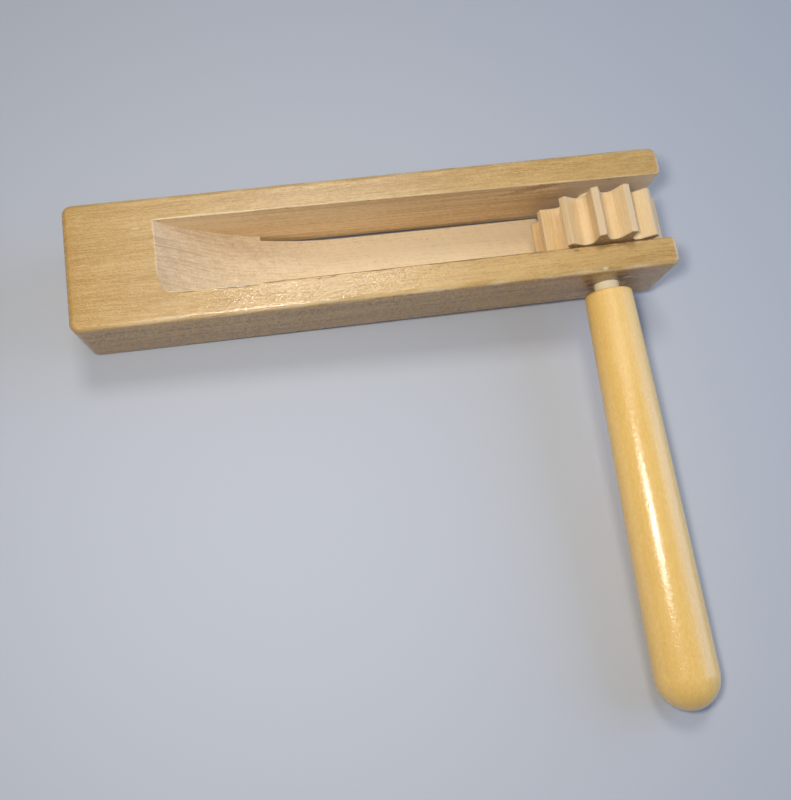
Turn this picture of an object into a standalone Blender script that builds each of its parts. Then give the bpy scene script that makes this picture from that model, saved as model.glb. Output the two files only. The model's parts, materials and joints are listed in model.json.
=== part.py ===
"""Hand-held wooden cog rattle.

A slotted block carries a cog between its two rails. The cog and a turned handle share one axle,
so swinging the block round the handle drags the springy tongue in the slot over the cog's teeth.

The origin is the middle of the block's closed end. X runs along the block towards the cog,
Y from the handle's side to the far side, and Z is up.
"""

import math

import bmesh
import bpy

MM = 0.001

# Block
FRAME_LENGTH = 200 * MM
FRAME_WIDTH = 43 * MM
FRAME_HEIGHT = 28 * MM
FRAME_CORNER = 2.5 * MM
FRAME_EDGE = 1.2 * MM

# Slot between the rails, swept by a round cutter whose run-out leaves a scooped end
FRONT_RAIL = 9.6 * MM
SLOT_END = 28.5 * MM
SLOT_WIDTH = 25 * MM
MOUTH_WIDTH = 23 * MM
MOUTH_CORNER = 2.5 * MM
SLOT_CORNER = 2 * MM
SCOOP_RADIUS = 84 * MM

# Springy tongue left under the slot, freed by a saw kerf along each rail
TONGUE_THICKNESS = 1.7 * MM
TONGUE_LIFT = 1 * MM
TONGUE_BITE = 2 * MM
KERF = 1.3 * MM
KERF_END = 61.2 * MM
KERF_RUNOUT = 0.2 * MM

# Cog, with V-shaped flutes
COG_TEETH = 12
COG_RADIUS = 21.65 * MM
COG_WIDTH = 17.1 * MM
COG_TO_RAIL = 0.6 * MM
TOOTH_LAND = 2.4 * MM
FLUTE_ANGLE = math.radians(57)
FLUTE_FILLET = 2.4 * MM
TOOTH_TO_TONGUE = 1.4 * MM

# Axle
AXLE_DIAMETER = 8.4 * MM
AXLE_FROM_MOUTH = 22 * MM
AXLE_END_RECESS = 0.5 * MM
AXLE_CHAMFER = 0.5 * MM

# Handle
HANDLE_LENGTH = 138.6 * MM
HANDLE_TO_FRAME = 3.4 * MM
HANDLE_NECK_RADIUS = 8 * MM
HANDLE_BUTT_RADIUS = 10.3 * MM
HANDLE_NECK_ROUND = 1.4 * MM
HANDLE_BUTT_ROUND = 11 * MM
HANDLE_BORE_DEPTH = 28 * MM

# Gap between pieces that touch or fit into each other
CLEARANCE = 0.3 * MM

ROUND_STEPS = 48
ARC_STEPS = 6
SCOOP_STEPS = 12

# Faces of the block and of the slot
TOP = FRAME_HEIGHT / 2
UNDERSIDE = -FRAME_HEIGHT / 2
FRONT = -FRAME_WIDTH / 2
REAR = FRAME_WIDTH / 2
SLOT_FRONT = FRONT + FRONT_RAIL
SLOT_FLOOR = UNDERSIDE + TONGUE_THICKNESS

# Lowest point of the scoop, where the cutter's run-out meets the flat floor
SCOOP_DEPTH = TOP - SLOT_FLOOR
SCOOP_BOTTOM = SLOT_END + math.sqrt(SCOOP_DEPTH * (2 * SCOOP_RADIUS - SCOOP_DEPTH))

AXLE_X = FRAME_LENGTH - AXLE_FROM_MOUTH
AXLE_RADIUS = AXLE_DIAMETER / 2
BORE_RADIUS = AXLE_RADIUS + CLEARANCE

# Tip of the tongue, which reaches under the teeth
TIP_TOP = SLOT_FLOOR + TONGUE_LIFT
TIP_UNDERSIDE = UNDERSIDE + TONGUE_LIFT
TIP_X = AXLE_X - math.sqrt(COG_RADIUS**2 - TIP_TOP**2) + TONGUE_BITE

# Root of the tongue, which bends about a line at the ends of the kerfs, half way up the wood there
ROOT_X = KERF_END + KERF_RUNOUT + CLEARANCE
FLEX_X = ROOT_X - CLEARANCE / 2


def scoop_height(x):
    """Height of the slot's floor: an arc of the cutter up to SCOOP_BOTTOM, then flat."""
    run = min(0, x - SCOOP_BOTTOM)
    return SLOT_FLOOR + SCOOP_RADIUS - math.sqrt(SCOOP_RADIUS**2 - run**2)


FLEX_Z = (UNDERSIDE + scoop_height(FLEX_X)) / 2


def rear_wall(x):
    """Y of the slot's far wall, which runs in slightly towards the mouth."""
    share = (x - SLOT_END) / (FRAME_LENGTH - SLOT_END)
    return SLOT_FRONT + SLOT_WIDTH + (MOUTH_WIDTH - SLOT_WIDTH) * share


def tongue_lift(x):
    """Rise of the blade towards its tip."""
    return TONGUE_LIFT * max(0, (x - SCOOP_BOTTOM) / (TIP_X - SCOOP_BOTTOM))


def round_off(distance, radius):
    """Sideways offset of a quarter circle at a distance from the end that it rounds off."""
    into = min(radius, max(0, radius - distance))
    return radius - math.sqrt(radius**2 - into**2)


def spread(start, end, steps):
    return [start + (end - start) * i / steps for i in range(steps + 1)]


def material(name, colour, roughness):
    made = bpy.data.materials.new(name)
    made.use_nodes = True
    shader = made.node_tree.nodes["Principled BSDF"]
    shader.inputs["Base Color"].default_value = (*colour, 1)
    shader.inputs["Roughness"].default_value = roughness
    shader.inputs["Metallic"].default_value = 0
    return made


def collection(name):
    made = bpy.data.collections.new(name)
    bpy.context.scene.collection.children.link(made)
    return made


def mesh_object(name, mesh, group):
    made = bpy.data.objects.new(name, mesh)
    group.objects.link(made)
    return made


def outline_object(name, outlines, thickness, group):
    """Flat outlines in XY, the first of them the outer one, extruded to a thickness about z = 0."""
    curve = bpy.data.curves.new(name, "CURVE")
    curve.dimensions = "2D"
    curve.fill_mode = "BOTH"
    curve.extrude = thickness / 2
    for points in outlines:
        spline = curve.splines.new("POLY")
        spline.points.add(len(points) - 1)
        for point, (x, y) in zip(spline.points, points):
            point.co = (x, y, 0, 1)
        spline.use_cyclic_u = True
    made = bpy.data.objects.new(name, curve)
    group.objects.link(made)
    return made


def as_mesh(outlined, group):
    """Replaces an outline object by a welded mesh object of the same name and place."""
    bpy.context.view_layer.update()
    graph = bpy.context.evaluated_depsgraph_get()
    mesh = bpy.data.meshes.new_from_object(outlined.evaluated_get(graph))
    work = bmesh.new()
    work.from_mesh(mesh)
    bmesh.ops.remove_doubles(work, verts=work.verts, dist=0.01 * MM)
    work.to_mesh(mesh)
    work.free()
    name, place = outlined.name, outlined.matrix_world.copy()
    bpy.data.objects.remove(outlined)
    made = mesh_object(name, mesh, group)
    made.matrix_world = place
    return made


def loft_object(name, sections, origin, group):
    """A solid through rectangular sections (x, front, rear, low, high), kept relative to origin."""
    work = bmesh.new()
    rings = []
    for x, front, rear, low, high in sections:
        corners = [(front, low), (rear, low), (rear, high), (front, high)]
        rings.append([work.verts.new((x - origin[0], y - origin[1], z - origin[2])) for y, z in corners])
    work.faces.new(rings[0])
    work.faces.new(reversed(rings[-1]))
    for ring, following in zip(rings, rings[1:]):
        for i in range(4):
            j = (i + 1) % 4
            work.faces.new((ring[j], ring[i], following[i], following[j]))
    bmesh.ops.recalc_face_normals(work, faces=work.faces)
    mesh = bpy.data.meshes.new(name)
    work.to_mesh(mesh)
    work.free()
    made = mesh_object(name, mesh, group)
    made.location = origin
    return made


def cylinder_object(name, radius, length, group):
    """A cylinder about the object's Z, centred on its origin."""
    work = bmesh.new()
    bmesh.ops.create_cone(
        work, cap_ends=True, segments=ROUND_STEPS, radius1=radius, radius2=radius, depth=length
    )
    mesh = bpy.data.meshes.new(name)
    work.to_mesh(mesh)
    work.free()
    return mesh_object(name, mesh, group)


def cut(obj, cutter):
    modifier = obj.modifiers.new("cut_" + cutter.name, "BOOLEAN")
    modifier.operation = "DIFFERENCE"
    modifier.object = cutter
    cutter.hide_render = True
    cutter.display_type = "WIRE"


def round_edges(obj, width, segments, angle):
    modifier = obj.modifiers.new("rounded_edges", "BEVEL")
    modifier.width = width
    modifier.segments = segments
    modifier.limit_method = "ANGLE"
    modifier.angle_limit = angle


def circle_points(radius):
    turn = 2 * math.pi / ROUND_STEPS
    return [(radius * math.cos(i * turn), radius * math.sin(i * turn)) for i in range(ROUND_STEPS)]


def block_outline():
    """Plan of the block, with its four corners rounded."""
    inset = FRAME_CORNER
    corners = [
        (FRAME_LENGTH - inset, REAR - inset),
        (inset, REAR - inset),
        (inset, FRONT + inset),
        (FRAME_LENGTH - inset, FRONT + inset),
    ]
    points = []
    for i, (x, y) in enumerate(corners):
        for turn in spread(i * math.pi / 2, (i + 1) * math.pi / 2, ARC_STEPS):
            points.append((x + inset * math.cos(turn), y + inset * math.sin(turn)))
    return points


def slot_sections():
    """Sections of the space that the slot takes up, from the scoop's end out through the mouth."""
    above = TOP + 3 * MM
    below = UNDERSIDE - MM
    corner = spread(SLOT_END, SLOT_END + SLOT_CORNER, ARC_STEPS)
    scoop = spread(SLOT_END + SLOT_CORNER, KERF_END, SCOOP_STEPS)
    sections = []
    for x in [SLOT_END - MM] + corner + scoop[1:]:
        front = SLOT_FRONT + round_off(x - SLOT_END, SLOT_CORNER)
        sections.append((x, front, rear_wall(x), scoop_height(x), above))
    mouth = spread(FRAME_LENGTH - MOUTH_CORNER, FRAME_LENGTH, ARC_STEPS)
    for x in [KERF_END + KERF_RUNOUT] + mouth + [FRAME_LENGTH + MM]:
        flare = round_off(FRAME_LENGTH - x, MOUTH_CORNER)
        sections.append((x, SLOT_FRONT - flare, rear_wall(x) + flare, below, above))
    return sections


def tongue_sections():
    """Sections of the tongue, from its root at the ends of the kerfs to its tip."""
    sections = []
    for x in spread(ROOT_X, SCOOP_BOTTOM, SCOOP_STEPS) + [TIP_X]:
        lift = tongue_lift(x)
        front, rear = SLOT_FRONT + KERF, rear_wall(x) - KERF
        sections.append((x, front, rear, UNDERSIDE + lift, scoop_height(x) + lift))
    return sections


def cog_outline():
    """Teeth with flat lands, and between them V-shaped flutes with a round bottom."""
    pitch = 2 * math.pi / COG_TEETH
    half_land = math.asin(TOOTH_LAND / 2 / COG_RADIUS)
    half_flute = pitch / 2 - half_land
    flank = FLUTE_ANGLE / 2
    apex = COG_RADIUS * (math.cos(half_flute) - math.sin(half_flute) / math.tan(flank))
    fillet_centre = apex + FLUTE_FILLET / math.sin(flank)
    # At rest the tooth that clicked last lies just below the tongue's tip.
    tip_angle = math.atan2(TIP_UNDERSIDE, TIP_X - AXLE_X)
    phase = tip_angle + TOOTH_TO_TONGUE / COG_RADIUS + half_land
    sweep = math.pi / 2 - flank
    points = []
    for tooth in range(COG_TEETH):
        middle = phase + tooth * pitch
        for corner in (middle - half_land, middle + half_land):
            points.append((COG_RADIUS * math.cos(corner), COG_RADIUS * math.sin(corner)))
        flute = middle + pitch / 2
        for turn in spread(-sweep, sweep, ARC_STEPS):
            out = fillet_centre - FLUTE_FILLET * math.cos(turn)
            side = FLUTE_FILLET * math.sin(turn)
            points.append(
                (
                    out * math.cos(flute) - side * math.sin(flute),
                    out * math.sin(flute) + side * math.cos(flute),
                )
            )
    return points


def handle_profile():
    """Half section (radius, height): round butt at the top, taper to the neck, then the bore."""
    butt = HANDLE_LENGTH - HANDLE_BUTT_ROUND
    points = [(0, HANDLE_LENGTH)]
    for turn in spread(0, math.pi / 2, 2 * ARC_STEPS)[1:]:
        points.append((HANDLE_BUTT_RADIUS * math.sin(turn), butt + HANDLE_BUTT_ROUND * math.cos(turn)))
    neck = HANDLE_NECK_RADIUS - HANDLE_NECK_ROUND
    for turn in spread(0, math.pi / 2, ARC_STEPS):
        points.append(
            (
                neck + HANDLE_NECK_ROUND * math.cos(turn),
                HANDLE_NECK_ROUND * (1 - math.sin(turn)),
            )
        )
    bore = HANDLE_BORE_DEPTH + CLEARANCE
    return points + [(BORE_RADIUS, 0), (BORE_RADIUS, bore), (0, bore)]


def make_frame(group, cutters):
    frame = as_mesh(outline_object("frame", [block_outline()], FRAME_HEIGHT, group), group)
    round_edges(frame, FRAME_EDGE, 2, math.radians(60))
    slot = loft_object("slot_cutter", slot_sections(), (0, 0, 0), cutters)
    cut(frame, slot)
    hole = cylinder_object("axle_hole_cutter", BORE_RADIUS, FRAME_WIDTH + 2 * MM, cutters)
    hole.location = (AXLE_X, 0, 0)
    hole.rotation_euler = (math.pi / 2, 0, 0)
    cut(frame, hole)
    frame.data.materials.append(material("varnished_block", (0.52, 0.33, 0.13), 0.4))


def make_tongue(group):
    tongue = loft_object("tongue", tongue_sections(), (FLEX_X, 0, FLEX_Z), group)
    tongue.data.materials.append(material("raw_tongue", (0.62, 0.42, 0.24), 0.7))


def make_crank(group):
    """The cog, axle and handle turn together about one empty, whose Z points out of the handle."""
    crank = bpy.data.objects.new("crank_axis", None)
    group.objects.link(crank)
    crank.location = (AXLE_X, FRONT, 0)
    crank.rotation_euler = (math.pi / 2, 0, 0)

    cog = outline_object("cog_wheel", [cog_outline(), circle_points(BORE_RADIUS)], COG_WIDTH, group)
    cog.parent = crank
    cog.location = (0, 0, -(FRONT_RAIL + COG_TO_RAIL + COG_WIDTH / 2))
    cog.data.materials.append(material("raw_cog", (0.6, 0.38, 0.19), 0.65))

    outer_end = HANDLE_TO_FRAME + HANDLE_BORE_DEPTH
    inner_end = AXLE_END_RECESS - FRAME_WIDTH
    axle = cylinder_object("axle", AXLE_RADIUS, outer_end - inner_end, group)
    axle.parent = crank
    axle.location = (0, 0, (outer_end + inner_end) / 2)
    axle.data.materials.append(material("pale_dowel", (0.75, 0.6, 0.4), 0.6))
    axle.data.shade_smooth()
    axle.data.set_sharp_from_angle(angle=math.radians(40))
    round_edges(axle, AXLE_CHAMFER, 1, math.radians(60))

    profile = handle_profile()
    mesh = bpy.data.meshes.new("handle")
    edges = [(i, i + 1) for i in range(len(profile) - 1)]
    mesh.from_pydata([(radius, 0, height) for radius, height in profile], edges, [])
    handle = mesh_object("handle", mesh, group)
    handle.parent = crank
    handle.location = (0, 0, HANDLE_TO_FRAME)
    turned = handle.modifiers.new("turned", "SCREW")
    turned.steps = turned.render_steps = ROUND_STEPS
    turned.use_merge_vertices = True
    turned.merge_threshold = 0.01 * MM
    turned.use_smooth_shade = True
    handle.data.materials.append(material("glossy_handle", (0.62, 0.37, 0.13), 0.25))


def main():
    for obj in list(bpy.data.objects):
        bpy.data.objects.remove(obj)
    group = collection("wooden_ratchet")
    cutters = collection("ratchet_cutters")
    make_frame(group, cutters)
    make_tongue(group)
    make_crank(group)
    bpy.context.view_layer.update()


main()
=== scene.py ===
"""Dresses a hand-held wooden cog rattle: slotted block, springy tongue, fluted cog, dowel and handle.

X runs along the block from its closed end to the cog, Y from the handle's side to the far side, Z is up.
"""

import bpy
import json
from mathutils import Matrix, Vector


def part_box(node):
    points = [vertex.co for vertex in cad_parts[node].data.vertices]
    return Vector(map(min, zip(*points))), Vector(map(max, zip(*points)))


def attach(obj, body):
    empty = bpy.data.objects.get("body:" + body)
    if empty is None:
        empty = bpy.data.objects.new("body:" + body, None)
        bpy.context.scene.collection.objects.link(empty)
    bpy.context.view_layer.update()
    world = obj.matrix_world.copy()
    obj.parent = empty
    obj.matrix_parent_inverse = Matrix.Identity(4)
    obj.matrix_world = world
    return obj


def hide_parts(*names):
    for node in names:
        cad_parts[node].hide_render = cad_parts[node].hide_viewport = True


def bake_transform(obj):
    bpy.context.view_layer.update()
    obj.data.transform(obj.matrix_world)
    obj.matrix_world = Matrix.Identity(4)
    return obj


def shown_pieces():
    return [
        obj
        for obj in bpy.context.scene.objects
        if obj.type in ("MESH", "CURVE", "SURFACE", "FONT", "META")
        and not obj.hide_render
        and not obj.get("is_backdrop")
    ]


bl_info = {
    "name": "Wooden Ratchet",
    "version": (1, 0, 0),
    "blender": (4, 5, 0),
    "location": "3D View > Sidebar > Ratchet",
    "description": "Builds a hand-held wooden cog rattle with its finishes, a studio and a camera",
    "category": "Object",
}

import json
import math
import random
from types import SimpleNamespace

import bmesh
import bpy
from mathutils import Matrix, Vector, noise

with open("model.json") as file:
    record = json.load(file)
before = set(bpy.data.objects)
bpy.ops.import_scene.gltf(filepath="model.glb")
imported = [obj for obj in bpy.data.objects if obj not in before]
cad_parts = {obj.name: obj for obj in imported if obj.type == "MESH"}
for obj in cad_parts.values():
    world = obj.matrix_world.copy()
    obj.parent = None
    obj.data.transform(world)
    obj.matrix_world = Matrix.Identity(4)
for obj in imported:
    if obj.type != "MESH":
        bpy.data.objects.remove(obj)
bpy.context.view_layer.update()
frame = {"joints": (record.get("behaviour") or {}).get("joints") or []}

MM = 0.001
HAIR = 0.01 * MM

# Places that the solids give
BLOCK_LOW, BLOCK_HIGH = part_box("frame")
COG_LOW, COG_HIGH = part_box("cog_wheel")
AXLE_LOW, AXLE_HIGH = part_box("axle")
HANDLE_LOW, HANDLE_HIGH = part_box("handle")
JOINTS = {joint["name"]: joint for joint in frame["joints"]}
AXLE_X = JOINTS["crank"]["pos_m"][0]
FLEX_X = JOINTS["tongue_flex"]["pos_m"][0]
TIP_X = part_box("tongue")[1].x
AXLE_RADIUS = (AXLE_HIGH.z - AXLE_LOW.z) / 2
BUTT_RADIUS = (HANDLE_HIGH.z - HANDLE_LOW.z) / 2

# The tongue's hinge line lies this far past the ends of the saw cuts.
HINGE_PAST_KERF = 0.25 * MM
# A rounded rim stops short of its tangent, so that it crosses the face it rounds at a clear angle.
RIM_SWEEP = math.radians(84)
RIM_STEPS = 4
ROUND_STEPS = 128
BORE_STEPS = 96
# Cutters reach this far past the faces that they cut.
PAST_FACE = 1 * MM
# Handwork leaves the slot and the handle slightly uneven, in waves of about these lengths.
UNEVEN = 0.05 * MM
SLOT_WAVE = 9 * MM
HANDLE_WAVE = 17 * MM


# Settings

def size(label, description, millimetres):
    return bpy.props.FloatProperty(
        name=label, description=description, default=millimetres * MM, min=0, subtype="DISTANCE", precision=5
    )


def tint(label, description, colour):
    return bpy.props.FloatVectorProperty(
        name=label, description=description, default=colour, size=3, min=0, max=1, subtype="COLOR"
    )


def amount(label, description, default):
    return bpy.props.FloatProperty(name=label, description=description, default=default, min=0)


class RatchetBlock(bpy.types.PropertyGroup):
    """Sizes and colours of the slotted block and of the tongue that is cut from it."""

    edge_round: size("Edge rounding", "Radius along the block's outer edges", 1.8)
    corner_round: size("Corner rounding", "Radius of the block's upright corners", 3)
    rail: size("Front rail", "Width of the rail on the handle's side", 9.6)
    slot_end: size("Slot end", "From the closed end of the block to the slot", 28.6)
    slot_width: size("Slot width", "Width of the slot at its scooped end", 25)
    mouth_width: size("Mouth width", "Width of the slot between the rail ends", 23)
    slot_corner: size("Slot corner", "Length of the slot's round front corner at its scooped end", 3.5)
    slot_corner_width: size("Slot corner width", "Width of the slot's round front corner", 6)
    slot_taper: size("Slot taper", "How far the front rail widens towards the slot's round corner", 0.7)
    slot_taper_run: size("Slot taper length", "Length over which the front rail widens", 13)
    mouth_corner: size("Mouth corner", "Radius of the rail ends on the slot's side", 2.5)
    rim_round: size("Slot rim", "Radius along the slot's upper rims", 0.55)
    scoop_radius: size("Scoop radius", "Radius of the cutter that scooped the slot", 84)
    blade: size("Tongue thickness", "Thickness of the tongue beyond the scoop", 1.7)
    lift: size("Tongue lift", "Rise of the tongue towards its tip", 1)
    kerf: size("Kerf", "Width of the saw cut on each side of the tongue", 1.3)
    kerf_end: size(
        "Kerf end", "From the closed end of the block to the ends of the saw cuts",
        (FLEX_X - HINGE_PAST_KERF) / MM,
    )
    blade_edge: size("Tongue edges", "Radius along the tongue's edges", 0.22)
    hole_gap: size("Axle hole gap", "Gap between the axle and its holes", 0.3)
    varnish_pale: tint("Varnish, pale grain", "Early wood under the satin varnish", (0.665, 0.412, 0.138))
    varnish_deep: tint("Varnish, deep grain", "Late wood and flecks under the varnish", (0.45, 0.248, 0.062))
    raw_pale: tint("Raw wood, pale grain", "Early wood of the scoop and the tongue", (0.84, 0.66, 0.4))
    raw_deep: tint("Raw wood, deep grain", "Late wood of the scoop and the tongue", (0.53, 0.345, 0.18))
    wall_pale: tint("Slot wall, pale grain", "Early wood of the slot's sawn walls", (0.89, 0.69, 0.42))
    wall_deep: tint("Slot wall, deep grain", "Late wood of the slot's sawn walls", (0.63, 0.42, 0.2))
    edge_amber: tint("Amber edges", "Thick varnish along the edges of the closed end", (0.5, 0.27, 0.065))
    # Painted shade: this brown darkens both long sides of the block, streaked along the grain.
    shaded_side_brown: tint("Brown sides", "Weathered varnish on the block's two long sides", (0.28, 0.145, 0.025))
    end_brown: tint("Brown ends", "End grain under the varnish", (0.33, 0.19, 0.07))
    smear: tint("Smear", "Brown smear on the slot wall beside the cog", (0.36, 0.2, 0.09))
    # This colour also paints the highlight along the slot's rims and, in part, along the outer edges.
    bare_and_highlight: tint("Bare wood", "Wood where the varnish is rubbed through or chipped", (0.82, 0.64, 0.39))
    # This colour also paints the shadow at the left edge of the axle's hole, and the darker line along the
    # slot's front rim.
    dirt_and_shade: tint("Dirt", "Dirt in chips, round the axle and beside the cog", (0.13, 0.075, 0.035))
    rubbed: tint("Rubbed wall", "Slot wall that the cog has rubbed", (0.84, 0.67, 0.47))


class RatchetCog(bpy.types.PropertyGroup):
    """Sizes and colours of the fluted cog."""

    teeth: bpy.props.IntProperty(name="Teeth", description="Number of teeth", default=12, min=4)
    radius: size("Radius", "From the axle's middle to the tips of the teeth", 21.6)
    land: size("Land", "Width of the flat on each tooth", 2.4)
    flute: bpy.props.FloatProperty(
        name="Flute angle", description="Angle between the two flanks of a flute",
        default=math.radians(57), subtype="ANGLE",
    )
    flute_round: size("Flute rounding", "Radius of the bottom of a flute", 2.4)
    land_round: size("Land rounding", "Radius along the edges of a land", 0.5)
    face_round: size("Face rounding", "Radius along the edges of the cog's two faces", 0.3)
    tongue_gap: size("Tooth to tongue", "From the tongue's tip to the tooth below it, round the cog", 1.4)
    pale: tint("Pale grain", "Early wood of the cog", (0.86, 0.63, 0.35))
    deep: tint("Deep grain", "Late wood of the cog", (0.72, 0.47, 0.19))
    worn: tint("Worn land", "Lands that the tongue has worn smooth", (0.68, 0.49, 0.29))
    end_grain: tint("End grain", "The cog's two faces", (0.36, 0.21, 0.1))


class RatchetCrank(bpy.types.PropertyGroup):
    """Sizes and colours of the axle and the turned handle."""

    axle_chamfer: size("Axle chamfer", "Chamfer on the ends of the axle", 0.5)
    neck_radius: size("Neck radius", "Radius of the handle at the block", 8.1)
    neck_round: size("Neck rounding", "Radius along the handle's edge at the block", 0.8)
    belly: size("Belly", "Swelling of the handle's taper halfway along", 0.15)
    butt_round: size("Butt length", "Length of the handle's rounded end", 11)
    bore_gap: size("Glue line", "Gap between the axle and the bores that it is glued into", 0.04)
    dowel_pale: tint("Dowel, pale grain", "Early wood of the axle", (1, 0.89, 0.6))
    dowel_deep: tint("Dowel, deep grain", "Late wood of the axle", (1, 0.83, 0.51))
    dowel_end: tint("Dowel, end grain", "Ends of the axle", (0.6, 0.42, 0.23))
    handle_pale: tint("Handle, pale grain", "Early wood under the handle's varnish", (0.97, 0.63, 0.2))
    handle_deep: tint("Handle, deep grain", "Late wood under the handle's varnish", (0.86, 0.51, 0.13))


class RatchetStudio(bpy.types.PropertyGroup):
    """Colours and strengths of the floor and the lights."""

    floor: tint("Floor", "Colour of the floor", (0.53, 0.535, 0.55))
    key: amount("Key light", "Light of the soft lamp beside the camera", 0.62)
    top: amount("Top light", "Light of the lamp high up behind the block", 0.25)
    side: amount("Side light", "Light of the low, cool lamp at the cog's end", 0.6)
    fill: amount("Fill light", "Light that reaches the object from all round", 0.17)
    cool: tint("Side light colour", "Colour of the low lamp at the cog's end", (0.36, 0.56, 1))


# Shader expressions

class Shade:
    """An output socket of a material. Python's operators on it add Math nodes."""

    def __init__(self, tree, socket=None):
        self.tree = tree
        self.socket = socket

    def node(self, kind, settings=None, inputs=None, output=0):
        """Adds a node, sets it up, then fills its sockets with values or links."""
        made = self.tree.nodes.new(kind)
        for name, value in (settings or {}).items():
            setattr(made, name, value)
        for name, value in (inputs or {}).items():
            if isinstance(value, Shade):
                self.tree.links.new(value.socket, made.inputs[name])
            else:
                made.inputs[name].default_value = value
        return Shade(self.tree, made.outputs[output])

    def other(self, output):
        """Another output of the same node."""
        return Shade(self.tree, self.socket.node.outputs[output])

    def math(self, operation, *values):
        return self.node("ShaderNodeMath", {"operation": operation}, dict(enumerate((self, *values))))

    def reflected(self, operation, value):
        return self.node("ShaderNodeMath", {"operation": operation}, {0: value, 1: self})

    def __add__(self, value):
        return self.math("ADD", value)

    __radd__ = __add__

    def __sub__(self, value):
        return self.math("SUBTRACT", value)

    def __rsub__(self, value):
        return self.reflected("SUBTRACT", value)

    def __mul__(self, value):
        return self.math("MULTIPLY", value)

    __rmul__ = __mul__

    def __truediv__(self, value):
        return self.math("DIVIDE", value)

    def __rtruediv__(self, value):
        return self.reflected("DIVIDE", value)

    def __pow__(self, value):
        return self.math("POWER", value)

    def __rpow__(self, value):
        return self.reflected("POWER", value)

    def __abs__(self):
        return self.math("ABSOLUTE")

    def step(self, low, high):
        """Rises smoothly from 0 at low to 1 at high."""
        settings = {"interpolation_type": "SMOOTHSTEP"}
        return self.node("ShaderNodeMapRange", settings, {0: self, 1: low, 2: high})

    def vector(self, operation, value, output=0):
        return self.node("ShaderNodeVectorMath", {"operation": operation}, {0: self, 1: value}, output)

    def speckle(self, stretch, detail=2.0, roughness=0.5):
        """Noise about 0 at this place, with stretch as its cells per millimetre."""
        inputs = {"Vector": self.vector("MULTIPLY", stretch), "Scale": 1.0, "Detail": detail}
        return self.node("ShaderNodeTexNoise", None, {**inputs, "Roughness": roughness}) - 0.5

    def mix(self, first, second):
        """A colour between two, with this value as the second one's share."""
        pair = {6: as_colour(first), 7: as_colour(second)}
        return self.node("ShaderNodeMix", {"data_type": "RGBA"}, {0: self, **pair}, output=2)


def as_colour(value):
    return value if isinstance(value, Shade) else (*value, 1)


def wood_fields(material, along, pith, ring_gap):
    """Solid wood as values: rings, fibres, flecks and more, at a place in millimetres.

    along is the grain's axis, and pith the middle of the growth rings in the other two axes.
    """
    tree = material.node_tree
    place = Shade(tree).node("ShaderNodeTexCoord", output="Object")
    mm = place.vector("MULTIPLY", (1 / MM,) * 3)
    x = mm.node("ShaderNodeSeparateXYZ", None, {0: mm})
    axes = {"X": x, "Y": x.other(1), "Z": x.other(2)}
    across, up = [axes[name] for name in "XYZ" if name != along]
    grain = mm.node("ShaderNodeCombineXYZ", None, {0: axes[along], 1: across, 2: up})
    bend = grain.speckle((0.011, 0.04, 0.04))
    radius = ((across - pith[0]) ** 2 + (up - pith[1]) ** 2) ** 0.5 + 4 * bend
    turns = radius / ring_gap
    years = turns.node("ShaderNodeTexNoise", {"noise_dimensions": "1D"}, {"W": turns, "Scale": 0.9})
    fleck_inputs = {"Vector": grain.vector("MULTIPLY", (0.5, 2.3, 2.3))}
    fleck = grain.node("ShaderNodeTexVoronoi", None, fleck_inputs)
    normal = place.other("Normal")
    facing = normal.vector("DOT_PRODUCT", [float(name == along) for name in "XYZ"], output=1)
    return SimpleNamespace(
        mm=mm, x=axes["X"], y=axes["Y"], z=axes["Z"], normal=normal, grain=grain, radius=radius,
        rings=turns.math("FRACT").step(0.35, 1.0) * years.step(0.38, 0.62),
        blotch=grain.speckle((0.012, 0.05, 0.05), 3.0),
        fibres=grain.speckle((0.11, 1.7, 1.7), 3.0, 0.6),
        mottle=grain.speckle((0.55, 1.4, 1.4), 2.0, 0.65),
        fine=grain.speckle((0.9, 4.2, 4.2), 2.0),
        flecks=(1 - fleck.step(0.1, 0.36)) * fleck.other(1).step(0.42, 0.7),
        cut=abs(facing), ends=abs(facing).step(0.55, 0.95),
    )


def spot(wood, centre, reach, ragged=0.5, slope=0.0):
    """1 at a mark's centre, 0 outside its reach along X, Y and Z, with a ragged edge, in millimetres.

    slope is how far the mark climbs in Z for each millimetre in X.
    """
    climb = wood.mm.node("ShaderNodeCombineXYZ", None, {2: slope * (wood.x - centre[0])})
    offset = wood.mm.vector("SUBTRACT", centre).vector("SUBTRACT", climb).vector("DIVIDE", reach)
    ripple = wood.mm.speckle((1.1, 1.1, 1.1), 2.0)
    return 1 - (offset.vector("LENGTH", (0, 0, 0), output=1) + 2 * ragged * ripple).step(0.5, 1.0)


def new_material(name):
    made = bpy.data.materials.new(name)
    made.use_nodes = True
    return made


def lay_finish(material, colour, roughness, height, depth, constants):
    """Feeds a wood's colour, roughness and relief to its shader; constants are the same all over it."""
    shader = material.node_tree.nodes["Principled BSDF"]
    relief = height.node("ShaderNodeBump", None, {"Height": height, "Distance": depth, "Strength": 1.0})
    fed = {"Base Color": colour, "Roughness": roughness, "Normal": relief}
    for name, value in fed.items():
        material.node_tree.links.new(value.socket, shader.inputs[name])
    for name, value in constants.items():
        shader.inputs[name].default_value = value
    return material


# Finishes

# Middle of the growth rings across each wood's grain, and the gap between its rings, in millimetres
BLOCK_PITH, BLOCK_RING_GAP = (-57, 14), 1.5
COG_PITH, COG_RING_GAP = (AXLE_X / MM + 19, -26), 2.6
DOWEL_PITH, DOWEL_RING_GAP = (AXLE_X / MM - 7, 6), 1.7
HANDLE_PITH, HANDLE_RING_GAP = (AXLE_X / MM + 31, 12), 3.6

# Radius in millimetres of one dark growth ring that crosses the scoop
DARK_YEAR = 61.5
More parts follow.
